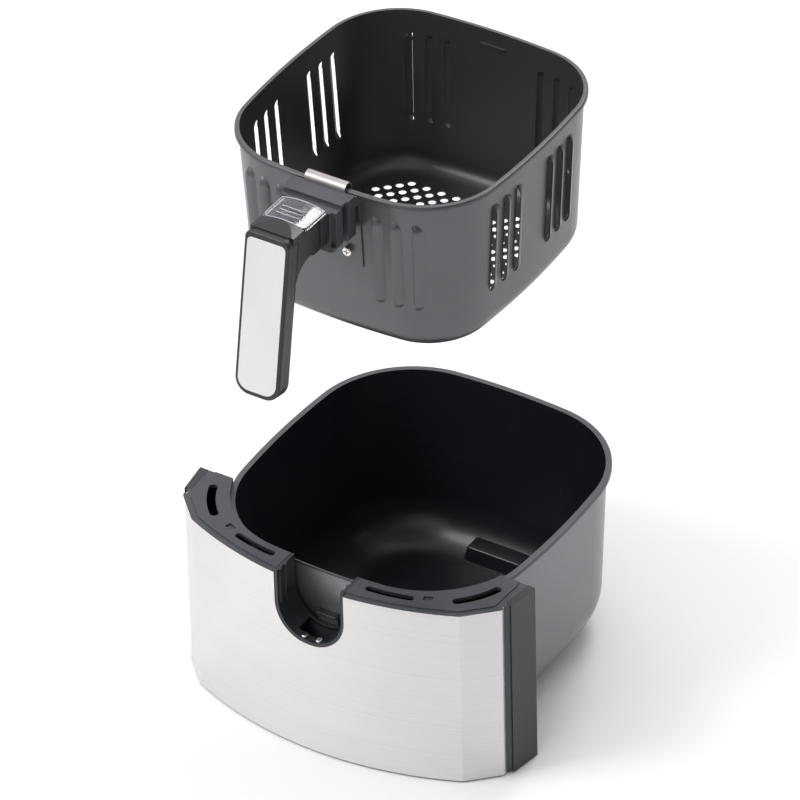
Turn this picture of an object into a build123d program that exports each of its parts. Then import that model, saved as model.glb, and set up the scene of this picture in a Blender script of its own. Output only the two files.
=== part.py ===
# Drawer and lift-out basket of a square basket-type air fryer, in millimetres.
# X points right, Y points to the back, Z points up. The origin is the centre of the
# pan's flat base. The drawer stands on that base and the basket hangs above it.
from build123d import *
import math
import os

os.makedirs("parts", exist_ok=True)

# --- drawer pan -----------------------------------------------------------------
sheet = 1.0                  # pressed sheet steel of the pan and the basket
pan_half_x = 117.0
pan_half_y = 125.3
pan_corner_r = 76.0
pan_height = 145.0
pan_draft = 6.0              # how far each wall leans in from rim to base
pan_bottom_r = 40.0
pan_flange = 3.6
side_bow_deg = 5.0           # half the arc that each slightly bowed side spans
boss_half_x = 27.0           # raised boss pressed into the rear of the pan's floor
boss_front_y = 92.0
boss_rear_y = 120.0
boss_height = 14.0
pan_notch_half = 29.3        # the flange is left out here, behind the front notch
pan_notch_z = 144.0

# --- front panel ----------------------------------------------------------------
panel_apex_y = -151.8        # steel face at the middle of its curve
panel_corner = (112.0, -127.8)
facet_end = (133.3, -106.8)
trim_front = (137.3, -100.3)
trim_rear = (141.4, -73.4)
skin_t = 0.8
skin_bottom = 1.5
skin_top = 150.0
plate_top = 151.0
plate_t = 3.0
plate_step = 0.8             # the plate's border lies this much lower than its middle
plate_border = 5.0
plate_overhang = 1.0
carrier_wall = 2.5
carrier_bottom = 1.0
rear_gap = 1.6               # between the pan's wall at the rim and the carrier's back
notch_half = 29.0
notch_centre_z = 125.0       # centre of the notch's round bottom
liner_t = 2.5
liner_gap = 0.15
pan_screw_x = 60.0
pan_screw_z = (58.0, 112.0)
liner_screw_x = 6.0
liner_screw_y = -147.6

# --- basket ---------------------------------------------------------------------
basket_half_x = 102.5
basket_half_y = 109.2
basket_corner_r = 56.0
basket_height = 128.0
basket_draft = 7.0
basket_bottom_r = 17.0
rim_bead = 2.5               # rolled rim, standing out of the wall
rim_bead_h = 3.2
hole_r = 2.95
hole_pitch = 8.8             # the hole lattice is turned 45 degrees to the walls
louvre_w = 7.4
louvre_h = 75.0
louvre_depth = 3.4
louvre_mid = -54.5           # height of a louvre's middle, from the rim
louvre_pitch = 14.2
bracket_half = 25.5             # coated plate behind the handle
bracket_t = 1.2
bracket_low = -64.0
bracket_screw_x = 15.0
bracket_screw_z = -52.0
tab_half = 16.5
hook_r = 4.7                    # outside radius of the arch over the rim
hook_foot_z = -1.6
hook_tip_z = -2.6

# --- handle, heights measured from the basket's rim -------------------------------
grip_lean_deg = 10.0
grip_half = 18.3
grip_len = 124.0
grip_front_y = -185.0        # top of the grip's front face
grip_front_z = 0.5
front_shell_t = 6.0
grip_back_t = 9.5
insert_half = 15.5
insert_len = 116.0
insert_top = 4.2
grip_screw_ys = (-28.0, -98.0)
arm_half = 17.6
arm_rear_y = -147.0
block_front_y = -137.5
block_half = 23.5
block_slot = (-128.0, -122.0)  # straddles the pan's front wall when seated
block_top = -0.2
collar_screw_y = -143.2
guard_rear_y = -139.2
guard_front_y = -165.4
guard_rib_y = -159.9            # thumb ribs across the clear guard
guard_rib_pitch = 4.3
crown_r = 62.0                  # crown of the arm's top and of the clear guard
button_travel = 3.0
button_y = (-161.0, -150.0)
button_mid_y = -155.5
latch_leg_y = (-135.5, -131.5)
latch_half = 5.2

# --- positions --------------------------------------------------------------------
seated_rim_z = 147.0
lift_travel = 322.0          # the basket is drawn lifted this far out of the drawer
rim_z = seated_rim_z + lift_travel


class Outline:
    """Closed outline of four slightly bowed sides joined by tangent corner arcs."""

    def __init__(self, half_x, half_y, corner_r, bow_deg=side_bow_deg):
        self.half_x = half_x
        self.half_y = half_y
        self.r = corner_r
        self.bow = math.radians(bow_deg)
        s = math.sin(self.bow)
        v = 1 - math.cos(self.bow)
        span_x = half_x - corner_r
        span_y = half_y - corner_r
        det = s * s - v * v
        self.side_x = (s * span_y - v * span_x) / det + corner_r
        self.side_y = (s * span_x - v * span_y) / det + corner_r
        self.cx = (self.side_y - corner_r) * s
        self.cy = (self.side_x - corner_r) * s

    def grown(self, by):
        """The parallel outline, this far outside (or inside, when negative)."""
        return Outline(self.half_x + by, self.half_y + by, self.r + by, math.degrees(self.bow))

    def face(self, z=0.0):
        bow = math.degrees(self.bow)
        turn = 90 - 2 * bow
        off_x = self.half_x - self.side_x
        off_y = self.half_y - self.side_y
        arcs = [
            CenterArc((off_x, 0), self.side_x, -bow, 2 * bow),
            CenterArc((self.cx, self.cy), self.r, bow, turn),
            CenterArc((0, off_y), self.side_y, 90 - bow, 2 * bow),
            CenterArc((-self.cx, self.cy), self.r, 90 + bow, turn),
            CenterArc((-off_x, 0), self.side_x, 180 - bow, 2 * bow),
            CenterArc((-self.cx, -self.cy), self.r, 180 + bow, turn),
            CenterArc((0, -off_y), self.side_y, 270 - bow, 2 * bow),
            CenterArc((self.cx, -self.cy), self.r, 270 + bow, turn),
        ]
        return Pos(0, 0, z) * make_face(Curve() + arcs)

    def point(self, side, along):
        """Point and outward angle in degrees on side 0..3 (+X, +Y, -X, -Y)."""
        lengthwise = side % 2 == 0
        half = self.half_x if lengthwise else self.half_y
        big = self.side_x if lengthwise else self.side_y
        limit = big * math.sin(self.bow)
        centre_out = self.cx if lengthwise else self.cy
        centre_along = self.cy if lengthwise else self.cx
        if abs(along) <= limit:
            lean = math.asin(along / big)
            out = half - big + big * math.cos(lean)
        else:
            step = abs(along) - centre_along
            lean = math.copysign(math.asin(step / self.r), along)
            out = centre_out + math.sqrt(self.r ** 2 - step ** 2)
        turn = math.radians(90 * side)
        x = out * math.cos(turn) - along * math.sin(turn)
        y = out * math.sin(turn) + along * math.cos(turn)
        return x, y, 90 * side + math.degrees(lean)


def cup(outline, z_top, z_base, draft, bottom_r):
    """Solid cup shape that leans in by draft and has a rounded bottom edge."""
    height = z_top - z_base
    taper = math.degrees(math.atan2(draft, height))
    body = extrude(outline.face(z_top), amount=height, dir=(0, 0, -1), taper=taper)
    base_edges = body.faces().sort_by(Axis.Z)[0].edges()
    return fillet(base_edges, bottom_r)


def cup_pair(outline, z_top, z_base, draft, bottom_r):
    """Outer and inner solids of a pressed cup of constant sheet thickness."""
    outer = cup(outline, z_top, z_base, draft, bottom_r)
    inner_draft = draft * (z_top - z_base - sheet) / (z_top - z_base)
    inner = cup(outline.grown(-sheet), z_top, z_base + sheet, inner_draft, bottom_r - sheet)
    return outer, inner


def box(x0, x1, y0, y1, z0, z1):
    centre = ((x0 + x1) / 2, (y0 + y1) / 2, (z0 + z1) / 2)
    return Pos(*centre) * Box(x1 - x0, y1 - y0, z1 - z0)


def rod_y(x, z, y0, y1, radius):
    return Pos(x, (y0 + y1) / 2, z) * Rot(90, 0, 0) * Cylinder(radius, y1 - y0)


def rod_z(x, y, z0, z1, radius):
    return Pos(x, y, (z0 + z1) / 2) * Cylinder(radius, z1 - z0)


def notch_prism(half, centre_z, y0, y1):
    """U-shaped prism along Y, open at the top."""
    top = 160.0
    return rod_y(0, centre_z, y0, y1, half) + box(-half, half, y0, y1, centre_z, top)


pan_outline = Outline(pan_half_x, pan_half_y, pan_corner_r)
basket_outline = Outline(basket_half_x, basket_half_y, basket_corner_r)
pan_outer, pan_inner = cup_pair(pan_outline, pan_height, 0.0, pan_draft, pan_bottom_r)


# --- drawer -----------------------------------------------------------------------

def floor_boss(grow, z0):
    """Raised boss with sloping sides; it runs into the pan's rounded rear bottom."""
    half = boss_half_x + grow
    plan = Pos(0, (boss_front_y + boss_rear_y) / 2, z0) * Rectangle(
        2 * half, boss_rear_y - boss_front_y + 2 * grow)
    plan = fillet(plan.vertices(), 6 + grow)
    boss = extrude(plan, amount=boss_height + grow - z0, taper=16)
    return fillet(boss.faces().sort_by(Axis.Z)[-1].edges(), 2.0)


def make_pan():
    pan = pan_outer - pan_inner
    pan += floor_boss(0.0, 0.0) & pan_outer
    pan -= floor_boss(-sheet, -0.5)
    ring = extrude(pan_outline.grown(pan_flange).face(pan_height - sheet), amount=sheet)
    ring = fillet(ring.faces().sort_by(Axis.Z)[-1].edges(), 0.6)
    lip = extrude(pan_outline.grown(pan_flange).face(pan_height - 3.5), amount=3.0)
    lip -= extrude(pan_outline.grown(pan_flange - sheet).face(pan_height - 4.0), amount=5.0)
    pan += (ring - pan_inner) + lip
    pan -= box(-pan_notch_half, pan_notch_half, -140, -pan_half_y, 130, 150)
    pan -= box(-pan_notch_half, pan_notch_half, -140, -100, pan_notch_z, 150)
    for x in (-pan_screw_x, pan_screw_x):
        for z in pan_screw_z:
            pan -= rod_y(x, z, -140, -100, 2.2)
    return pan


def front_plan():
    """Plan of the steel front: a shallow curve, two facets and a straight back."""
    cx, cy = panel_corner
    fx, fy = facet_end
    back = -60.0
    path = Curve() + [
        Line((-fx, back), (-fx, fy)),
        Line((-fx, fy), (-cx, cy)),
        ThreePointArc((-cx, cy), (0, panel_apex_y), (cx, cy)),
        Line((cx, cy), (fx, fy)),
        Line((fx, fy), (fx, back)),
        Line((fx, back), (-fx, back)),
    ]
    plan = make_face(path)
    bends = [v for v in plan.vertices() if v.Y < back - 1]
    return fillet(bends, 3.0)


steel_plan = front_plan()


def inset(plan, by):
    return offset(plan, amount=-by, kind=Kind.INTERSECTION)


def behind_steel():
    """Plan of the plastic carrier behind the steel, with its two rear wings."""
    dx, dy = trim_rear
    fx, fy = facet_end
    cx, cy = trim_front
    depth = 130.0
    core = inset(steel_plan, skin_t) & Pos(0, dy - depth / 2, 0) * Rectangle(300, depth)
    wing = make_face(Polyline((fx - 8, fy + 3.8), (fx - skin_t, fy + 3.8), (cx - 1.1, cy + 1.1),
                              (cx - 4.8, cy + 1.9), (dx - 6.8, dy), (fx - 8, dy), close=True))
    return core + wing + mirror(wing, about=Plane.YZ)


carrier_outline = behind_steel()


def make_front_skin():
    band = steel_plan - inset(steel_plan, skin_t)
    band &= Pos(0, facet_end[1] + 3.8 - 50, 0) * Rectangle(300, 100)
    skin = Pos(0, 0, skin_bottom) * extrude(band, amount=skin_top - skin_bottom)
    return skin - notch_prism(notch_half, notch_centre_z, -160, -120)


def make_side_trim(side):
    cx, cy = trim_front
    dx, dy = trim_rear
    plan = make_face(Polyline((cx - 1.1, cy + 1.1), (cx, cy), (dx, dy), (dx - 6.8, dy),
                              (cx - 4.8, cy + 1.9), close=True))
    trim = Pos(0, 0, carrier_bottom) * extrude(plan, amount=plate_top - 0.6 - carrier_bottom)
    outer_edges = trim.edges().filter_by(Axis.Z).sort_by(Axis.X)[-1:]
    trim = fillet(outer_edges, 0.8)
    return trim if side > 0 else mirror(trim, about=Plane.YZ)


def plate_slots():
    """Vent slots and location marks in the carrier's top plate, right side."""
    long_slot = SlotArc(arc=ThreePointArc((41, -134.3), (56.5, -132.4), (72, -128.8)), height=5.5)
    end_slot = SlotArc(arc=ThreePointArc((102, -115.3), (112.3, -103.6), (119.5, -89.8)), height=6.5)
    mark = Pos(83, -123.0) * Rot(0, 0, 24) * Rectangle(7.0, 5.0)
    cut = extrude(long_slot + end_slot, amount=30) + Pos(0, 0, 14.6) * extrude(mark, amount=20)
    return Pos(0, 0, plate_top - 16) * cut


def make_front_carrier():
    """Front wall, side walls and vented top plate in one moulding."""
    wall_base = carrier_bottom + carrier_wall
    plate_base = plate_top - plate_t
    walls_plan = carrier_outline - inset(carrier_outline, carrier_wall)
    walls_plan -= pan_outline.grown(rear_gap + carrier_wall + 0.1).face()
    carrier = Pos(0, 0, wall_base) * extrude(walls_plan, amount=plate_base - wall_base)
    border_plan = offset(steel_plan, amount=plate_overhang, kind=Kind.INTERSECTION)
    border_plan &= Pos(0, facet_end[1] - 48, 0) * Rectangle(300, 100)
    plate_plan = carrier_outline - pan_outline.grown(2.5).face()
    carrier += Pos(0, 0, plate_base) * extrude(plate_plan, amount=skin_top - plate_base)
    border_plan = border_plan + carrier_outline - pan_outline.grown(2.5).face()
    middle_plan = inset(border_plan, plate_border) + (plate_plan & inset(steel_plan, plate_border))
    border_z = plate_top - plate_step
    carrier += Pos(0, 0, skin_top) * extrude(border_plan, amount=border_z - skin_top)
    carrier += Pos(0, 0, plate_base) * extrude(middle_plan, amount=plate_t)
    skirt = carrier_outline & (pan_outline.grown(5.5).face() - pan_outline.grown(2.5).face())
    carrier += Pos(0, 0, pan_height + 0.3) * extrude(skirt, amount=plate_base - pan_height - 0.3)
    screw_pad = box(-12, 12, -150, -143, 84, 100) & extrude(carrier_outline, amount=150)
    carrier += screw_pad
    for x in (-pan_screw_x, pan_screw_x):
        for z in pan_screw_z:
            post = rod_y(x, z, -148, -131.5, 5.5) & extrude(carrier_outline, amount=150)
            carrier += post
            carrier -= rod_y(x, z, -141, -120, 2.0)
    carrier -= notch_prism(notch_half, notch_centre_z, -160, -110)
    carrier -= extrude(pan_outline.grown(pan_flange + 0.3).face(pan_height - 4.0), amount=4.3)
    slots = plate_slots()
    carrier -= slots
    carrier -= mirror(slots, about=Plane.YZ)
    for x, y in ((-liner_screw_x, liner_screw_y), (liner_screw_x, liner_screw_y)):
        carrier -= rod_z(x, y, 86, 110, 1.5)
    return carrier


def make_carrier_back():
    """Inner panel: a wall that follows the pan and a floor under the carrier."""
    inner = pan_outline.grown(rear_gap)
    wall_plan = carrier_outline & (inner.grown(carrier_wall).face() - inner.face())
    back = Pos(0, 0, carrier_bottom) * extrude(wall_plan, amount=pan_height - 4.0 - carrier_bottom)
    floor_plan = carrier_outline - inner.face()
    back += Pos(0, 0, carrier_bottom) * extrude(floor_plan, amount=carrier_wall)
    for x in (-pan_screw_x, pan_screw_x):
        for z in pan_screw_z:
            pad = rod_y(x, z, -131.0, -112, 7.0) & extrude(carrier_outline, amount=150)
            back += pad - pan_outer
            back -= rod_y(x, z, -150, -100, 2.2)
    return back - notch_prism(notch_half, notch_centre_z, -160, -110)


def make_notch_liner():
    half = notch_half - liner_gap
    inner_half = half - liner_t
    liner = notch_prism(half, notch_centre_z, -153, -126.6)
    liner -= notch_prism(inner_half, notch_centre_z, -160, -120)
    for y in (-146.0, -139.0):
        rib = notch_prism(inner_half + 0.5, notch_centre_z, y - 1.2, y + 1.2)
        rib -= notch_prism(inner_half - 1.1, notch_centre_z, y - 2, y + 2)
        liner += rib & box(-40, 40, -160, -120, notch_centre_z - 4, 160)
    liner &= extrude(inset(steel_plan, 0.5), amount=plate_top - 0.2)
    liner -= box(-13, 13, -144.5, -129.5, 80, 112)
    for x in (-liner_screw_x, liner_screw_x):
        liner -= rod_z(x, liner_screw_y, 80, 110, 1.6)
    return liner


def make_liner_screws():
    inner_half = notch_half - liner_gap - liner_t
    z = notch_centre_z - math.sqrt(inner_half ** 2 - liner_screw_x ** 2)
    screws = []
    for x in (-liner_screw_x, liner_screw_x):
        head = rod_z(x, liner_screw_y, z - 0.2, z + 1.6, 2.6)
        head = fillet(head.edges().sort_by(Axis.Z)[-1:], 0.7) - notch_liner
        screws.append(head + rod_z(x, liner_screw_y, 87, z, 1.45))
    return Compound(children=screws)


def pan_front_y(x, z):
    """Y of the pan's inner face on its front wall."""
    lean_in = pan_draft * (pan_height - z) / pan_height
    return pan_outline.grown(-lean_in - sheet).point(3, x)[1]


def make_pan_screws():
    screws = []
    for x in (-pan_screw_x, pan_screw_x):
        for z in pan_screw_z:
            face_y = pan_front_y(x, z)
            head = rod_y(x, z, face_y - 3, face_y + 2.6, 4.0)
            head = fillet(head.edges().sort_by(Axis.Y)[-1:], 0.8)
            head = (head - (pan_outer - pan_inner)).solids().sort_by(Axis.Y)[-1]
            screws.append(head + rod_y(x, z, -140, face_y + 1.5, 1.95))
    return Compound(children=screws)


def make_pan_catch():
    """Steel angle on the pan's front wall that the basket's latch reaches under."""
    leg = box(-8, 8, -125.7, -118, 98, 108.4) - pan_outer
    lip = box(-8, 8, -129.0, -124.5, 107.0, 108.4)
    return leg + lip - pan_outer


# --- basket, modelled with its rim at z = 0 -----------------------------------------
basket_outer, basket_inner = cup_pair(
    basket_outline, 0.0, -basket_height, basket_draft, basket_bottom_r)
floor_outline = basket_outline.grown(-basket_draft - basket_bottom_r - 0.6)


def louvre():
    """Outer and inner solids of one pressed louvre; its free edge faces local +X."""
    w = louvre_w / 2
    d = louvre_depth
    t = 0.9
    straight = louvre_h / 2 - louvre_w      # half the straight part; the ends are quarter rounds

    def with_round_ends(profile, turn):
        body = Pos(0, 0, -straight) * extrude(profile, amount=2 * straight)
        end = revolve(Pos(0, 0, straight) * profile, Axis((w, 0, straight), (0, 1, 0)), turn)
        return body + end + mirror(end, Plane.XY)

    skin = ThreePointArc((w, d), (0.15 * w, 0.8 * d), (-w, -0.3))
    hood = make_face(Polyline((-w, -0.3), (-w, -0.5), (w, -0.5), (w, d)) + skin)
    inner = ThreePointArc((w, d - t), (0.25 * w, 0.8 * d - t), (1.5 - w, -0.4))
    hollow = make_face(Polyline((1.5 - w, -0.4), (1.5 - w, -3), (w, -3), (w, d - t)) + inner)
    mouth = box(w - 0.5, w + 0.6, -3, d - t, -straight, straight)
    return with_round_ends(hood, 90), with_round_ends(hollow, 100) + mouth


def louvre_places():
    """Wall frames of the 24 louvres; every opening faces clockwise from above."""
    lean = math.atan2(basket_draft, basket_height)
    shrink = basket_draft * -louvre_mid / basket_height
    outline = basket_outline.grown(-shrink)
    places = []
    for side in range(4):
        centre = 35.0 if side % 2 == 0 else 53.0
        for group in (-centre, centre):
            for step in (-louvre_pitch, 0, louvre_pitch):
                x, y, angle = outline.point(side, group + step)
                out = Vector(math.cos(math.radians(angle)), math.sin(math.radians(angle)), 0)
                up = Vector(0, 0, math.cos(lean)) + out * math.sin(lean)
                clockwise = Vector(out.Y, -out.X, 0)
                places.append(Plane(origin=(x, y, louvre_mid), x_dir=clockwise, z_dir=up))
    return places


def make_basket_wall():
    wall = basket_outer - basket_inner
    bead = extrude(basket_outline.grown(rim_bead).face(-rim_bead_h), amount=rim_bead_h)
    bead = fillet(bead.faces().sort_by(Axis.Z)[-1].edges(), 1.5)
    wall += bead - basket_inner
    wall -= extrude(floor_outline.face(-basket_height - 1), amount=4)
    hood, hollow = louvre()
    places = louvre_places()
    wall += [place * hood for place in places]
    wall -= [place * hollow for place in places]
    wall += box(-10, 10, basket_half_y - 3.0, basket_half_y - 0.6, -12.6, -11.4) & basket_outer
    for x in (-bracket_screw_x, bracket_screw_x):
        wall -= rod_y(x, bracket_screw_z, -120, -95, 2.2)
    return wall


def make_basket_floor():
    step = hole_pitch / math.sqrt(2)
    holes = []
    for i in range(-14, 15):
        for j in range(-14, 15):
            x = i * step
            y = j * step
            inside = abs(x) <= 73 and abs(y) <= 79.5 and abs(x) + abs(y) <= 134
            if (i + j) % 2 == 0 and inside:
                holes.append(Pos(x, y, 0) * Circle(hole_r))
    plate = floor_outline.face() - holes
    return Pos(0, 0, -basket_height) * extrude(plate, amount=sheet)


bead_front = basket_half_y + rim_bead
plate_front_y = -bead_front - 0.2 - bracket_t


def make_bracket_plate():
    """Coated plate that follows the wall and steps out over the rim's bead."""
    outer = cup(basket_outline.grown(bracket_t), 0.0, -basket_height, basket_draft, basket_bottom_r)
    plate = (outer - basket_outer) & box(
        -bracket_half, bracket_half, -130, -100, bracket_low, -rim_bead_h - 1)
    plate += box(-bracket_half, bracket_half, plate_front_y, -basket_half_y + 0.6, -9.0, hook_foot_z)
    plate -= basket_outer - basket_inner
    bead_plan = basket_outline.grown(rim_bead + 0.05).face() - basket_outline.grown(-sheet).face()
    plate -= Pos(0, 0, -rim_bead_h - 0.1) * extrude(bead_plan, amount=rim_bead_h + 0.4)
    for x in (-bracket_screw_x, bracket_screw_x):
        plate -= rod_y(x, bracket_screw_z, -120, -95, 2.2)
    return plate


def make_rim_hook():
    """Bare steel tab, welded to the plate, that arches over the rim."""
    mid_y = plate_front_y + hook_r
    ring = Circle(hook_r) - Circle(hook_r - bracket_t)
    arch = ring & Pos(0, hook_r) * Rectangle(3 * hook_r, 2 * hook_r)
    arch += Pos(-hook_r + bracket_t / 2, hook_foot_z / 2) * Rectangle(bracket_t, -hook_foot_z)
    arch += Pos(hook_r - bracket_t / 2, hook_tip_z / 2) * Rectangle(bracket_t, -hook_tip_z)
    hook = extrude(Plane.YZ * (Pos(mid_y, 0) * arch), amount=tab_half, both=True)
    return hook


def make_bracket_screws():
    screws = []
    wall_y = -basket_half_y + basket_draft * -bracket_screw_z / basket_height
    for x in (-bracket_screw_x, bracket_screw_x):
        head = rod_y(x, bracket_screw_z, wall_y - 4.6, wall_y, 3.6)
        head = fillet(head.edges().sort_by(Axis.Y)[:1], 1.0)
        socket = Pos(x, wall_y - 4.0, bracket_screw_z) * Box(1.0, 1.6, 4.4)
        head -= [socket, socket.rotate(Axis((x, 0, bracket_screw_z), (0, 1, 0)), 90)]
        head -= bracket_plate
        head -= basket_outer
        screws.append(head + rod_y(x, bracket_screw_z, wall_y - 3.0, wall_y + 4.0, 2.0))
    return Compound(children=screws)


def make_bracket_nuts():
    nuts = []
    wall_y = -basket_half_y + basket_draft * -bracket_screw_z / basket_height + sheet
    for x in (-bracket_screw_x, bracket_screw_x):
        nut = Pos(x, wall_y + 1.3, bracket_screw_z) * Rot(90, 0, 0) * extrude(
            RegularPolygon(3.9, 6), amount=1.7, both=True)
        nut &= basket_inner
        nuts.append(nut - rod_y(x, bracket_screw_z, -120, -90, 2.0))
    return Compound(children=nuts)


def latch_space():
    """Clear space that the latch slider moves in."""
    room = box(-6, 6, -166, -128.9 - 2.2, -18.6, -13.4)
    return room + box(-4.8, 4.8, latch_leg_y[0] - button_travel - 0.4, -131.1, -60, -13.4)


def make_base_block():
    """Black block that hangs over the pan's front wall in the notch."""
    front = box(-block_half, block_half, block_front_y, block_slot[0] + 1, -36, -2.8)
    front = fillet(front.edges().filter_by(Axis.Y).group_by(Axis.Z)[0], 6.0)
    front = fillet(front.edges().filter_by(Axis.Z).group_by(Axis.Y)[0], 1.2)
    rear = box(-block_half - 1.5, block_half + 1.5, block_slot[1], plate_front_y, -34, block_top)
    rear = fillet(rear.edges().filter_by(Axis.Y).group_by(Axis.Z)[0], 3.0)
    bridge = box(-block_half, block_half, block_slot[0], block_slot[1] + 1, -2.6, block_top)
    inner_rib = box(-block_half + 1.2, block_half - 1.2, block_slot[0], block_slot[0] + 1, -34, block_top)
    block = front + rear + bridge + inner_rib
    block -= box(-block_half - 3, -block_half + 5, -140, -132.5, -14, 0)
    block -= box(block_half - 3.5, block_half + 3, -140, -135.2, -30, 0)
    return block - latch_space()


def make_arm_collar():
    """Rounded sleeve between the base block and the arm."""
    half = arm_half + 1.2
    collar = rod_y(0, -19.0, arm_rear_y, block_front_y, half)
    collar += box(-half, half, arm_rear_y, block_front_y, -19.0, -2.8)
    collar = fillet(collar.edges().filter_by(Axis.Y).group_by(Axis.Z)[-1], 1.5)
    collar -= rod_z(0, collar_screw_y, -60, -24, 2.1)
    return collar - latch_space()


def make_collar_screw():
    head = rod_z(0, collar_screw_y, -41.0, -37.2, 3.6)
    head = fillet(head.edges().group_by(Axis.Z)[0], 1.0)
    head -= rod_z(0, collar_screw_y, -42, -39.6, 1.7)
    return head + rod_z(0, collar_screw_y, -38, -25, 2.0) - arm_collar


lean = math.radians(grip_lean_deg)
grip_plane = Plane(origin=(0, grip_front_y, grip_front_z), x_dir=(1, 0, 0),
                   z_dir=(0, -math.cos(lean), math.sin(lean)))


def grip_slab(half, top, bottom, r_top, r_bottom, z0, z1):
    """Slab in the grip's leaning frame: rounded outline, z0..z1 through the grip."""
    plan = Pos(0, (top + bottom) / 2) * Rectangle(2 * half, top - bottom)
    plan = fillet(plan.vertices().group_by(Axis.Y)[-1], r_top)
    plan = fillet(plan.vertices().group_by(Axis.Y)[0], r_bottom)
    return grip_plane * (Pos(0, 0, z0) * extrude(plan, amount=z1 - z0))


def make_grip_front_shell():
    plan = Pos(0, -grip_len / 2) * Rectangle(2 * grip_half, grip_len)
    plan = fillet(plan.vertices().group_by(Axis.Y)[-1], 5.5)
    plan = fillet(plan.vertices().group_by(Axis.Y)[0], 12.0)
    shell = Pos(0, 0, -front_shell_t) * extrude(plan, amount=front_shell_t)
    shell = fillet(shell.faces().sort_by(Axis.Z)[-1].edges(), 1.6)
    shell = grip_plane * shell
    shell -= grip_slab(insert_half + 0.1, -insert_top + 0.1, -insert_top - insert_len - 0.1,
                       3.6, 9.1, -1.0, 3.0)
    for y in grip_screw_ys:
        shell -= grip_plane * (Pos(0, y, -4) * Cylinder(2.0, 20))
        shell -= grip_plane * (Pos(0, y, -2.0) * Cylinder(3.6, 2.4))
    return shell


def make_grip_insert():
    insert = grip_slab(insert_half, -insert_top, -insert_top - insert_len, 3.5, 9.0, -1.0, 0.35)
    return insert


def make_grip_screws():
    screws = []
    for y in grip_screw_ys:
        head = grip_plane * (Pos(0, y, -2.2) * Cylinder(3.4, 1.9))
        shank = grip_plane * (Pos(0, y, -7.6) * Cylinder(1.9, 9.0))
        screws.append(head + shank)
    return Compound(children=screws)


def make_handle_shell():
    """Rear half of the grip and the arm that carries the button and the latch."""
    back = front_shell_t + grip_back_t
    plan = Pos(0, -grip_len / 2) * Rectangle(2 * grip_half, grip_len)
    plan = fillet(plan.vertices().group_by(Axis.Y)[-1], 5.5)
    plan = fillet(plan.vertices().group_by(Axis.Y)[0], 12.0)
    grip = Pos(0, 0, -back) * extrude(plan, amount=grip_back_t)
    grip = fillet(grip.faces().sort_by(Axis.Z)[0].edges(), 5.0)
    grip = grip_plane * grip
    side = Polyline((arm_rear_y, -2.8), (guard_front_y - 0.4, -2.8), (guard_front_y - 0.4, 2.6),
                    (-178.9, 0.6), (-188.3, -52.0), (-178.5, -52.0), (-174.2, -27.3),
                    (arm_rear_y, -27.3), close=True)
    profile = make_face(side)
    elbow = profile.vertices().sort_by_distance((-174.2, -27.3, 0))[0]
    profile = fillet(elbow, 19.0)
    arm = extrude(Plane.YZ * profile, amount=arm_half, both=True)
    low_edges = [e for e in arm.edges() if -40 < e.center().Z < -20
                 and abs(e.center().X) > arm_half - 0.5 and e.center().Y > -178]
    arm = fillet(low_edges, 4.0)
    crown = rod_y(0, 2.6 - crown_r, -200, -140, crown_r)
    arm &= crown + box(-40, 40, -200, -140, -80, -20)
    shell = grip + arm
    shell -= grip_plane * (Pos(0, -grip_len / 2, 15 - front_shell_t) * Box(60, grip_len + 30, 30))
    pocket = box(-9, 9, button_y[0] - 0.6, button_y[1] + 0.6, -11.5, 5)
    shell -= pocket + rod_z(0, button_mid_y, -14, -10, 3.3)
    shell -= latch_space() & box(-9, 9, -166, -100, -60, 5)
    shell -= box(-2.6, 2.6, -158.1, -152.9, -21.2, -18.0)      # room for the button's tip
    for y in grip_screw_ys:
        shell -= grip_plane * (Pos(0, y, -10) * Cylinder(1.9, 9))
    return shell


def make_button_guard():
    """Clear cover that slides towards the basket to bare the button."""
    length = guard_rear_y - guard_front_y
    mid_y = (guard_rear_y + guard_front_y) / 2
    top = 2.6
    guard = rod_y(0, top - crown_r, guard_front_y, guard_rear_y, crown_r)
    guard -= rod_y(0, top - crown_r, guard_front_y - 1, guard_rear_y + 1, crown_r - 1.8)
    guard &= Pos(0, mid_y, 0) * Box(2 * arm_half, length, 20)
    for side in (-1, 1):
        x = side * (arm_half - 0.9)
        guard += Pos(x, mid_y, -1.3) * Box(1.8, length, 2.4)
    ribs = [Pos(0, guard_rib_y + guard_rib_pitch * k, top) * Box(19, 0.9, 1.4) for k in range(3)]
    guard += ribs
    plan = Pos(0, mid_y) * Rectangle(2 * arm_half, length)
    plan = fillet(plan.vertices().group_by(Axis.Y)[0], 4.0)
    return guard & Pos(0, 0, -2.5) * extrude(plan, amount=8)


def make_release_button():
    cap = box(-8.4, 8.4, button_y[0], button_y[1], -4.6, -2.7)
    cap = fillet(cap.edges().filter_by(Axis.Z), 1.5)
    cap = fillet(cap.edges().group_by(Axis.Z)[-1], 0.6)
    stem = rod_z(0, button_mid_y, -12.0, -4.6, 2.9)
    tip = make_face(Polyline((-157.5, -12.0), (-153.5, -12.0), (-153.5, -17.3), (-157.5, -13.3),
                             close=True))
    return cap + stem + extrude(Plane.YZ * tip, amount=2.0, both=True)


def make_button_spring():
    coils = 3.5
    low = -11.0
    high = -5.1
    wire = 0.4
    helix = Helix((high - low) / coils, high - low, 3.6)
    ring = Plane(origin=helix @ 0, z_dir=helix % 0) * Circle(wire)
    spring = sweep(ring, path=helix, is_frenet=True)
    return Pos(0, button_mid_y, low) * spring


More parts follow.
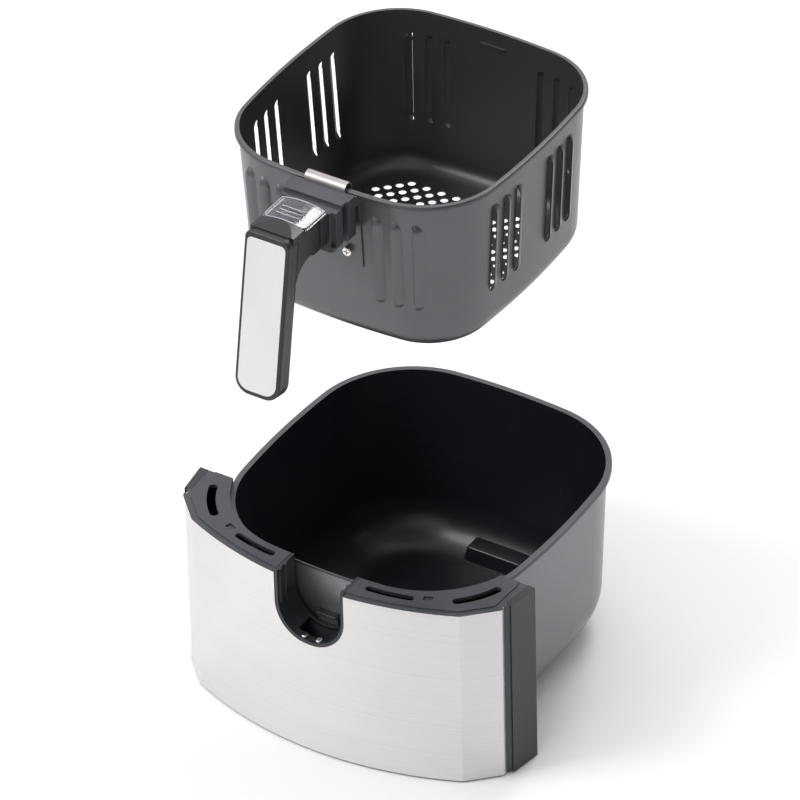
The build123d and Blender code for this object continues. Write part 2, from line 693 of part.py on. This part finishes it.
def make_latch_slider():
    """Slider that the button's sloping tip pushes forward, with its hooked leg."""
    plate = box(-latch_half, latch_half, -162.0, latch_leg_y[1], -18.0, -15.5)
    window = box(-4.2, 4.2, -158.3, -149.8, -20, -10)
    ramp = make_face(Polyline((-161.5, -18.0), (-154.1, -18.0), (-158.2, -13.9), (-161.5, -13.9),
                              close=True))
    slider = plate - window + extrude(Plane.YZ * ramp, amount=2.6, both=True)
    leg = box(-4.0, 4.0, latch_leg_y[0], latch_leg_y[1], -44.0, -15.5)
    nose = make_face(Polyline((latch_leg_y[1], -44.0), (latch_leg_y[1], -40.5),
                              (-129.5, -40.5), (-129.5, -42.5), close=True))
    return slider + leg + extrude(Plane.YZ * nose, amount=4.0, both=True)


# --- build and write ------------------------------------------------------------------
notch_liner = make_notch_liner()
bracket_plate = make_bracket_plate()
arm_collar = make_arm_collar()

drawer_nodes = {
    "drawer_pan": make_pan(),
    "front_steel_skin": make_front_skin(),
    "front_carrier": make_front_carrier(),
    "carrier_back": make_carrier_back(),
    "side_trim_right": make_side_trim(1),
    "side_trim_left": make_side_trim(-1),
    "notch_liner": notch_liner,
    "liner_screws": make_liner_screws(),
    "pan_screws": make_pan_screws(),
    "pan_catch": make_pan_catch(),
}

basket_nodes = {
    "basket_wall": make_basket_wall(),
    "basket_floor": make_basket_floor(),
    "bracket_plate": bracket_plate,
    "rim_hook": make_rim_hook(),
    "bracket_screws": make_bracket_screws(),
    "bracket_nuts": make_bracket_nuts(),
    "base_block": make_base_block(),
    "arm_collar": arm_collar,
    "collar_screw": make_collar_screw(),
    "handle_shell": make_handle_shell(),
    "grip_front_shell": make_grip_front_shell(),
    "grip_insert": make_grip_insert(),
    "grip_screws": make_grip_screws(),
    "button_guard": make_button_guard(),
    "release_button": make_release_button(),
    "button_spring": make_button_spring(),
    "latch_slider": make_latch_slider(),
}

for name, shape in drawer_nodes.items():
    export_step(shape, f"parts/{name}.step")

for name, shape in basket_nodes.items():
    export_step(Pos(0, 0, rim_z) * shape, f"parts/{name}.step")
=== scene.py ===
import math

import bmesh
import bpy
from mathutils import Matrix, Vector


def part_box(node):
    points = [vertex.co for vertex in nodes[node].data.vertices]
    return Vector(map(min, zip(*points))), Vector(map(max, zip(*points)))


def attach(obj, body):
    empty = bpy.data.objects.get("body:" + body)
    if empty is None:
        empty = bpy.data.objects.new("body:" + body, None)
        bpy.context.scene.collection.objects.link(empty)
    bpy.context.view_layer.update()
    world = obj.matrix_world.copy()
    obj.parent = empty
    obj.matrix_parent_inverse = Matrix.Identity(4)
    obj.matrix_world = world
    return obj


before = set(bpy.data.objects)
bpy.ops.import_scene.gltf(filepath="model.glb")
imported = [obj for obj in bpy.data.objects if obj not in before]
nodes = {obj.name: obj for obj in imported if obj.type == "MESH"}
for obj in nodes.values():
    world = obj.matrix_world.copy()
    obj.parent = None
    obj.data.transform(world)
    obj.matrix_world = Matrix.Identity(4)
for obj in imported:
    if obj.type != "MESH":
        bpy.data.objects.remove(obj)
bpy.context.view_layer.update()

scene = bpy.context.scene
mm = 0.001


# shader helpers
def startMaterial(name):
    mat = bpy.data.materials.new(name)
    mat.use_nodes = True
    tree = mat.node_tree
    return mat, tree, tree.nodes["Principled BSDF"]


def addNode(tree, kind, values=None, **props):
    node = tree.nodes.new(kind)
    for key, value in props.items():
        setattr(node, key, value)
    for key, value in (values or {}).items():
        if isinstance(value, bpy.types.NodeSocket):
            tree.links.new(value, node.inputs[key])
        else:
            node.inputs[key].default_value = value
    return node


def addMath(tree, how, a, b):
    return addNode(tree, "ShaderNodeMath", {0: a, 1: b}, operation=how).outputs[0]


def mixColors(tree, factor, a, b):
    node = tree.nodes.new("ShaderNodeMix")
    node.data_type = "RGBA"
    # inputs 0, 6 and 7 are the factor and the two colours of this data type
    for socket, value in ((node.inputs[0], factor), (node.inputs[6], a), (node.inputs[7], b)):
        if isinstance(value, bpy.types.NodeSocket):
            tree.links.new(value, socket)
        elif socket.type == "RGBA":
            socket.default_value = (*value, 1.0)
        else:
            socket.default_value = value
    return node.outputs[2]


def noiseAt(tree, scale, detail=2.0, rough=0.5, stretch=(1, 1, 1)):
    place = addNode(tree, "ShaderNodeTexCoord").outputs["Object"]
    mapping = addNode(tree, "ShaderNodeMapping", {"Vector": place, "Scale": stretch})
    values = {"Vector": mapping.outputs[0], "Scale": scale, "Detail": detail, "Roughness": rough}
    return addNode(tree, "ShaderNodeTexNoise", values).outputs["Fac"]


noiseSpan = (0.25, 0.75)       # where most of a noise value lies


def mapRange(tree, value, source, target=(0.0, 1.0)):
    values = {"Value": value, "From Min": source[0], "From Max": source[1],
              "To Min": target[0], "To Max": target[1]}
    return addNode(tree, "ShaderNodeMapRange", values, clamp=True).outputs[0]


def roundedEdges(tree, radius):
    return addNode(tree, "ShaderNodeBevel", {"Radius": radius}, samples=4).outputs[0]


def surfaceNormal(tree, bsdf, height, spec):
    values = {"Height": height, "Strength": spec["bump"], "Distance": spec["bumpDepth"],
              "Normal": roundedEdges(tree, spec["edge"])}
    bump = addNode(tree, "ShaderNodeBump", values)
    tree.links.new(bump.outputs[0], bsdf.inputs["Normal"])


# brushed steel: the front skin, and the insert in the grip with its brushing up and down
frontSteel = {"light": (0.80, 0.785, 0.765), "dark": (0.69, 0.68, 0.665), "rough": (0.34, 0.46),
              "anisotropic": 0.8, "turn": 0.25,     # light streaks across the grain
              "grain": (4, 4, 1700), "cloud": 9.0, "cloudShare": 0.2, "shadeSpan": (0.3, 0.7),
              "bump": 0.12, "bumpDepth": 0.04 * mm, "edge": 0.5 * mm}
gripSteel = dict(frontSteel, light=(0.76, 0.755, 0.745), dark=(0.72, 0.715, 0.705),
                 grain=(1500, 4, 4), anisotropic=0.3, turn=0.0)


def brushedSteel(name, spec):
    mat, tree, bsdf = startMaterial(name)
    grain = noiseAt(tree, 1.0, 3.0, 0.65, spec["grain"])
    cloud = noiseAt(tree, spec["cloud"])
    grainPart = addMath(tree, "MULTIPLY", grain, 1 - spec["cloudShare"])
    cloudPart = addMath(tree, "MULTIPLY", cloud, spec["cloudShare"])
    shade = mapRange(tree, addMath(tree, "ADD", grainPart, cloudPart), spec["shadeSpan"])
    tree.links.new(mixColors(tree, shade, spec["dark"], spec["light"]), bsdf.inputs["Base Color"])
    tree.links.new(mapRange(tree, grain, noiseSpan, spec["rough"]), bsdf.inputs["Roughness"])
    bsdf.inputs["Metallic"].default_value = 1.0
    bsdf.inputs["Anisotropic"].default_value = spec["anisotropic"]
    bsdf.inputs["Anisotropic Rotation"].default_value = spec["turn"]
    around = addNode(tree, "ShaderNodeTangent", direction_type="RADIAL", axis="Z")
    tree.links.new(around.outputs[0], bsdf.inputs["Tangent"])
    surfaceNormal(tree, bsdf, grain, spec)
    return mat


# moulded plastics: front and block, trims and liner, grip, button
plasticLook = {"ior": 1.5, "cloud": 28.0, "wornSpan": (0.35, 0.75), "wornGain": 1.35, "wornLift": 0.004,
               "smoother": 0.05, "rougher": 0.06, "bumpDepth": 0.03 * mm}
plastics = {
    "charcoalMoulding": {"color": (0.040, 0.042, 0.050), "rough": 0.42, "texture": 2600.0,
                         "bump": 0.25, "edge": 0.7 * mm},
    "trimMoulding": {"color": (0.016, 0.017, 0.021), "rough": 0.36, "texture": 3000.0,
                     "bump": 0.15, "edge": 0.7 * mm},
    "gripMoulding": {"color": (0.012, 0.012, 0.014), "rough": 0.34, "texture": 3200.0,
                     "bump": 0.18, "edge": 0.9 * mm},
    "buttonMoulding": {"color": (0.045, 0.045, 0.052), "rough": 0.36, "texture": 2600.0,
                       "bump": 0.2, "edge": 0.7 * mm},
}


def mouldedPlastic(name, own):
    spec = {**plasticLook, **own}
    mat, tree, bsdf = startMaterial(name)
    fine = noiseAt(tree, spec["texture"], 2.0, 0.6)
    cloud = noiseAt(tree, spec["cloud"], 3.0, 0.55)
    worn = tuple(min(1.0, c * spec["wornGain"] + spec["wornLift"]) for c in spec["color"])
    wear = mapRange(tree, cloud, spec["wornSpan"])
    tree.links.new(mixColors(tree, wear, spec["color"], worn), bsdf.inputs["Base Color"])
    span = (spec["rough"] - spec["smoother"], spec["rough"] + spec["rougher"])
    tree.links.new(mapRange(tree, cloud, noiseSpan, span), bsdf.inputs["Roughness"])
    bsdf.inputs["IOR"].default_value = spec["ior"]
    surfaceNormal(tree, bsdf, fine, spec)
    return mat


# non-stick coat: one colour inside, another outside, a third on the rolled rim
rimDepth = 3 * mm
coatLook = {"insideSpan": (0.45, 0.8), "outsideSpan": (0.4, 0.8), "cloud": 14.0, "cloudRough": 0.12,
            "bump": 0.35, "bumpDepth": 0.03 * mm, "edge": 0.3 * mm}
panCoat = {"inside": (0.008, 0.009, 0.0125), "insideFleck": (0.028, 0.031, 0.038),
           "outside": (0.19, 0.20, 0.205), "outsideFleck": (0.26, 0.27, 0.28),
           "rim": (0.072, 0.072, 0.082), "rimZ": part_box("drawer_pan")[1][2] - rimDepth,
           "speck": 2400.0, "insideRough": 0.30, "outsideRough": 0.33, "outsideMetal": 0.75}
basketCoat = {"inside": (0.032, 0.032, 0.036), "insideFleck": (0.05, 0.05, 0.055),
              "outside": (0.105, 0.11, 0.115), "outsideFleck": (0.15, 0.155, 0.16),
              "rim": (0.085, 0.085, 0.092), "rimZ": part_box("basket_wall")[1][2] - rimDepth,
              "speck": 2600.0, "insideRough": 0.33, "outsideRough": 0.34, "outsideMetal": 0.7}


def coatMasks(tree, rimZ):
    # outside: faces that look away from the middle or down; rim: the roll above rimZ
    normal = addNode(tree, "ShaderNodeNewGeometry").outputs["True Normal"]
    place = addNode(tree, "ShaderNodeTexCoord").outputs["Object"]
    flat = addNode(tree, "ShaderNodeVectorMath", {0: place, 1: (1, 1, 0)}, operation="MULTIPLY")
    away = addNode(tree, "ShaderNodeVectorMath", {0: flat.outputs[0]}, operation="NORMALIZE")
    facing = addNode(tree, "ShaderNodeVectorMath", {0: away.outputs[0], 1: normal},
                     operation="DOT_PRODUCT").outputs["Value"]
    normalZ = addNode(tree, "ShaderNodeSeparateXYZ", {0: normal}).outputs["Z"]
    height = addNode(tree, "ShaderNodeSeparateXYZ", {0: place}).outputs["Z"]
    outside = addMath(tree, "GREATER_THAN", addMath(tree, "SUBTRACT", facing, normalZ), 0.0)
    onRim = addMath(tree, "GREATER_THAN", height, rimZ)
    notBelow = addMath(tree, "GREATER_THAN", normalZ, -0.2)
    notInside = addMath(tree, "GREATER_THAN", facing, -0.5)
    rim = addMath(tree, "MULTIPLY", onRim, addMath(tree, "MULTIPLY", notBelow, notInside))
    return outside, rim


def nonStick(name, own):
    spec = {**coatLook, **own}
    mat, tree, bsdf = startMaterial(name)
    outside, rim = coatMasks(tree, spec["rimZ"])
    speck = noiseAt(tree, spec["speck"], 1.0, 0.5)
    cloud = noiseAt(tree, spec["cloud"], 3.0, 0.6)
    insideShade = mapRange(tree, speck, spec["insideSpan"])
    outsideShade = mapRange(tree, speck, spec["outsideSpan"])
    insideColor = mixColors(tree, insideShade, spec["inside"], spec["insideFleck"])
    outsideColor = mixColors(tree, outsideShade, spec["outside"], spec["outsideFleck"])
    coat = mixColors(tree, outside, insideColor, outsideColor)
    tree.links.new(mixColors(tree, rim, coat, spec["rim"]), bsdf.inputs["Base Color"])
    rough = mapRange(tree, outside, (0.0, 1.0), (spec["insideRough"], spec["outsideRough"]))
    patchy = addMath(tree, "MULTIPLY", addMath(tree, "SUBTRACT", cloud, 0.5), spec["cloudRough"])
    tree.links.new(addMath(tree, "ADD", rough, patchy), bsdf.inputs["Roughness"])
    tree.links.new(addMath(tree, "MULTIPLY", outside, spec["outsideMetal"]), bsdf.inputs["Metallic"])
    surfaceNormal(tree, bsdf, speck, spec)
    return mat


# clear plastic: the guard over the button
clearSpec = {"color": (0.93, 0.93, 0.97, 1), "ior": 1.45, "haze": 220.0, "rough": (0.05, 0.12),
             "edge": 0.5 * mm}


def clearPlastic(name, spec):
    mat, tree, bsdf = startMaterial(name)
    haze = noiseAt(tree, spec["haze"])
    bsdf.inputs["Base Color"].default_value = spec["color"]
    bsdf.inputs["Transmission Weight"].default_value = 1.0
    bsdf.inputs["IOR"].default_value = spec["ior"]
    tree.links.new(mapRange(tree, haze, noiseSpan, spec["rough"]), bsdf.inputs["Roughness"])
    tree.links.new(roundedEdges(tree, spec["edge"]), bsdf.inputs["Normal"])
    return mat


# bare metals: rim hook, spring, screws and nuts
metalLook = {"cloud": 60.0, "paleSpan": (0.3, 0.7), "paleGain": 1.18, "smoother": 0.05, "rougher": 0.08,
             "bumpDepth": 0.04 * mm, "edge": 0.3 * mm}
metals = {
    "hookSteel": {"color": (0.42, 0.39, 0.38), "rough": 0.42, "texture": 1400.0, "bump": 0.5},
    "springSteel": {"color": (0.45, 0.45, 0.46), "rough": 0.25, "texture": 900.0, "bump": 0.15},
    "brightScrew": {"color": (0.72, 0.70, 0.68), "rough": 0.16, "texture": 1200.0, "bump": 0.1},
}


def plainMetal(name, own):
    spec = {**metalLook, **own}
    mat, tree, bsdf = startMaterial(name)
    grain = noiseAt(tree, spec["texture"], 3.0, 0.6)
    cloud = noiseAt(tree, spec["cloud"])
    pale = tuple(min(1.0, c * spec["paleGain"]) for c in spec["color"])
    shade = mapRange(tree, cloud, spec["paleSpan"])
    tree.links.new(mixColors(tree, shade, spec["color"], pale), bsdf.inputs["Base Color"])
    span = (spec["rough"] - spec["smoother"], spec["rough"] + spec["rougher"])
    tree.links.new(mapRange(tree, grain, noiseSpan, span), bsdf.inputs["Roughness"])
    bsdf.inputs["Metallic"].default_value = 1.0
    surfaceNormal(tree, bsdf, grain, spec)
    return mat


materials = {
    "brushedFront": brushedSteel("brushedFront", frontSteel),
    "brushedGrip": brushedSteel("brushedGrip", gripSteel),
    "panCoat": nonStick("panCoat", panCoat),
    "basketCoat": nonStick("basketCoat", basketCoat),
    "clearGuard": clearPlastic("clearGuard", clearSpec),
}
for finish, own in plastics.items():
    materials[finish] = mouldedPlastic(finish, own)
for finish, own in metals.items():
    materials[finish] = plainMetal(finish, own)

piecesOf = {
    "brushedFront": ["front_steel_skin"],
    "brushedGrip": ["grip_insert"],
    "panCoat": ["drawer_pan", "pan_catch"],
    "basketCoat": ["basket_wall", "basket_floor", "bracket_plate"],
    "clearGuard": ["button_guard"],
    "charcoalMoulding": ["front_carrier", "carrier_back", "base_block", "latch_slider"],
    "trimMoulding": ["side_trim_right", "side_trim_left", "notch_liner"],
    "gripMoulding": ["arm_collar", "handle_shell", "grip_front_shell"],
    "buttonMoulding": ["release_button"],
    "hookSteel": ["rim_hook"],
    "springSteel": ["button_spring"],
    "brightScrew": ["liner_screws", "pan_screws", "bracket_screws", "bracket_nuts", "collar_screw",
                    "grip_screws"],
}
for finish, pieces in piecesOf.items():
    for nodeName in pieces:
        slots = nodes[nodeName].data.materials
        slots.clear()
        slots.append(materials[finish])
print("finishes on", sum(len(pieces) for pieces in piecesOf.values()), "pieces")


# painted highlights: pale wires laid along the clear guard's rib tops and along its rim stand in for
# the light they catch
ribHighlightSpec = {"count": 3, "first": 5.5 * mm, "pitch": 4.3 * mm, "half": 9.2 * mm, "hook": 1.3 * mm,
           "wire": 0.2 * mm, "ribSink": 0.05 * mm, "hookSink": 0.1 * mm,
           "arch": 62 * mm, "crownDrop": 0.65 * mm,     # the guard's top is an arc across its width
           "rimInset": 0.5 * mm, "endInset": 0.3 * mm, "frontCorner": 3.5 * mm, "cornerStart": 4 * mm,
           "light": (0.92, 0.92, 0.97), "dark": (0.6, 0.6, 0.68), "rough": 0.25, "cloud": 400.0}


# painted highlight: a pale grey-lavender colour on the wires, varied by noise
def paintedRibHighlight(spec):
    mat, tree, bsdf = startMaterial("paintedRibHighlight")
    cloud = noiseAt(tree, spec["cloud"])
    tree.links.new(mixColors(tree, cloud, spec["dark"], spec["light"]), bsdf.inputs["Base Color"])
    bsdf.inputs["Roughness"].default_value = spec["rough"]
    return mat


def addWire(curve, points):
    spline = curve.splines.new("POLY")
    spline.points.add(len(points) - 1)
    for point, place in zip(spline.points, points):
        point.co = (*place, 1)


# painted highlights: thin pale tubes just under the rib tops and along the guard's crest and long edges
def makeGuardRibHighlights(spec):
    low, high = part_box("button_guard")
    curve = bpy.data.curves.new("guardPaintedRibHighlights", "CURVE")
    curve.dimensions = "3D"
    curve.bevel_depth = spec["wire"]
    curve.bevel_resolution = 2

    half, hook = spec["half"], spec["hook"]
    ribTop = high[2] - spec["ribSink"]
    for k in range(spec["count"]):                      # each rib turns back a little at its right end
        y = low[1] + spec["first"] + k * spec["pitch"]
        addWire(curve, [(-half, y, ribTop), (half - hook, y, ribTop),
                        (half - 0.3 * hook, y + 0.3 * hook, ribTop),
                        (half, y + hook, ribTop - spec["hookSink"])])

    def crestHeight(x):
        return ribTop - spec["crownDrop"] - (spec["arch"] - math.sqrt(spec["arch"] ** 2 - x * x))

    side = high[0] - spec["rimInset"]
    front, rear = low[1] + spec["endInset"], high[1] - spec["endInset"]
    for y, reach in ((front, side - spec["frontCorner"]), (rear, side)):
        steps = [reach * (i / 8 - 1) for i in range(17)]
        addWire(curve, [(x, y, crestHeight(x)) for x in steps])
    for x in (-side, side):                             # its long edges
        start = low[1] + spec["cornerStart"]
        addWire(curve, [(x, start, crestHeight(x)), (x, rear, crestHeight(x))])

    # the painted highlight wires ride with the guard
    ribHighlights = bpy.data.objects.new("guardPaintedRibHighlights", curve)
    scene.collection.objects.link(ribHighlights)
    curve.materials.append(paintedRibHighlight(spec))
    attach(ribHighlights, "guard")
    print("guard rib edges", spec["count"])


makeGuardRibHighlights(ribHighlightSpec)


# stage: pale floor, soft light, camera
stageSpec = {"floorSize": 12.0, "floorColor": (0.96, 0.96, 0.96), "floorRough": 0.6,
             "worldStrength": 1.12, "skyColors": ((0.50, 0.50, 0.53), (1.0, 1.0, 1.02)),
             "skyRise": (0.0, 0.75), "darkSide": (0.14, 0.14, 0.16), "darkSpan": (0.15, 0.65)}
lightSpec = {
    "keyLight": {"place": (-1.3, -1.4, 2.2), "target": (0, -0.05, 0.2), "size": 1.0, "power": 27},
    "fillLight": {"place": (2.1, 0.9, 1.5), "target": (0, 0, 0.25), "size": 1.0, "power": 6},
    "backLight": {"place": (-0.2, 1.6, 2.2), "target": (0, 0, 0.2), "size": 0.9, "power": 18},
}
cameraSpec = {"lens": 360.0, "azimuth": 33.0, "elevation": 36.0, "roll": -1.5, "distance": 5.661,
              "right": 0.053, "up": 0.1182, "origin": (0.0, -0.1278, 0.150), "clipEnd": 50}


def makeFloor(spec):
    mesh = bpy.data.meshes.new("studioFloor")
    build = bmesh.new()
    bmesh.ops.create_grid(build, x_segments=1, y_segments=1, size=spec["floorSize"] / 2)
    build.to_mesh(mesh)
    build.free()
    floor = bpy.data.objects.new("studioFloor", mesh)
    scene.collection.objects.link(floor)
    mat, _, bsdf = startMaterial("paleFloor")
    bsdf.inputs["Base Color"].default_value = (*spec["floorColor"], 1)
    bsdf.inputs["Roughness"].default_value = spec["floorRough"]
    mesh.materials.append(mat)


def makeWorld(spec):
    world = bpy.data.worlds.new("studioWorld")
    world.use_nodes = True
    tree = world.node_tree
    sky = tree.nodes["Background"]
    way = addNode(tree, "ShaderNodeTexCoord").outputs["Generated"]
    split = addNode(tree, "ShaderNodeSeparateXYZ", {0: way})
    rise = mapRange(tree, split.outputs["Z"], spec["skyRise"])
    across = mapRange(tree, split.outputs["X"], spec["darkSpan"])     # darker towards the right
    studio = mixColors(tree, rise, *spec["skyColors"])
    tree.links.new(mixColors(tree, across, studio, spec["darkSide"]), sky.inputs["Color"])
    sky.inputs["Strength"].default_value = spec["worldStrength"]
    scene.world = world


def softLight(name, spec):
    lamp = bpy.data.lights.new(name, "AREA")
    lamp.shape = "DISK"
    lamp.size = spec["size"]
    lamp.energy = spec["power"]
    holder = bpy.data.objects.new(name, lamp)
    holder.location = spec["place"]
    toTarget = Vector(spec["target"]) - Vector(spec["place"])
    holder.rotation_euler = toTarget.to_track_quat("-Z", "Y").to_euler()
    scene.collection.objects.link(holder)


def makeCamera(spec):
    turn = math.radians(spec["azimuth"])
    rise = math.radians(spec["elevation"])
    back = Vector((math.sin(turn) * math.cos(rise), -math.cos(turn) * math.cos(rise), math.sin(rise)))
    side = Vector((math.cos(turn), math.sin(turn), 0))
    top = side.cross(-back)
    roll = math.radians(spec["roll"])
    right = side * math.cos(roll) + top * math.sin(roll)
    up = top * math.cos(roll) - side * math.sin(roll)
    place = Vector(spec["origin"]) + back * spec["distance"] + right * spec["right"] + up * spec["up"]
    lens = bpy.data.cameras.new("productCamera")
    lens.sensor_width = 36.0
    lens.lens = spec["lens"]
    lens.clip_end = spec["clipEnd"]
    camera = bpy.data.objects.new("productCamera", lens)
    axes = Matrix((right, up, back)).transposed().to_4x4()
    camera.matrix_world = Matrix.Translation(place) @ axes
    scene.collection.objects.link(camera)
    scene.camera = camera


makeFloor(stageSpec)
makeWorld(stageSpec)
makeCamera(cameraSpec)
for lightName, spec in lightSpec.items():
    softLight(lightName, spec)
scene.view_settings.view_transform = "Standard"
print("stage ready")
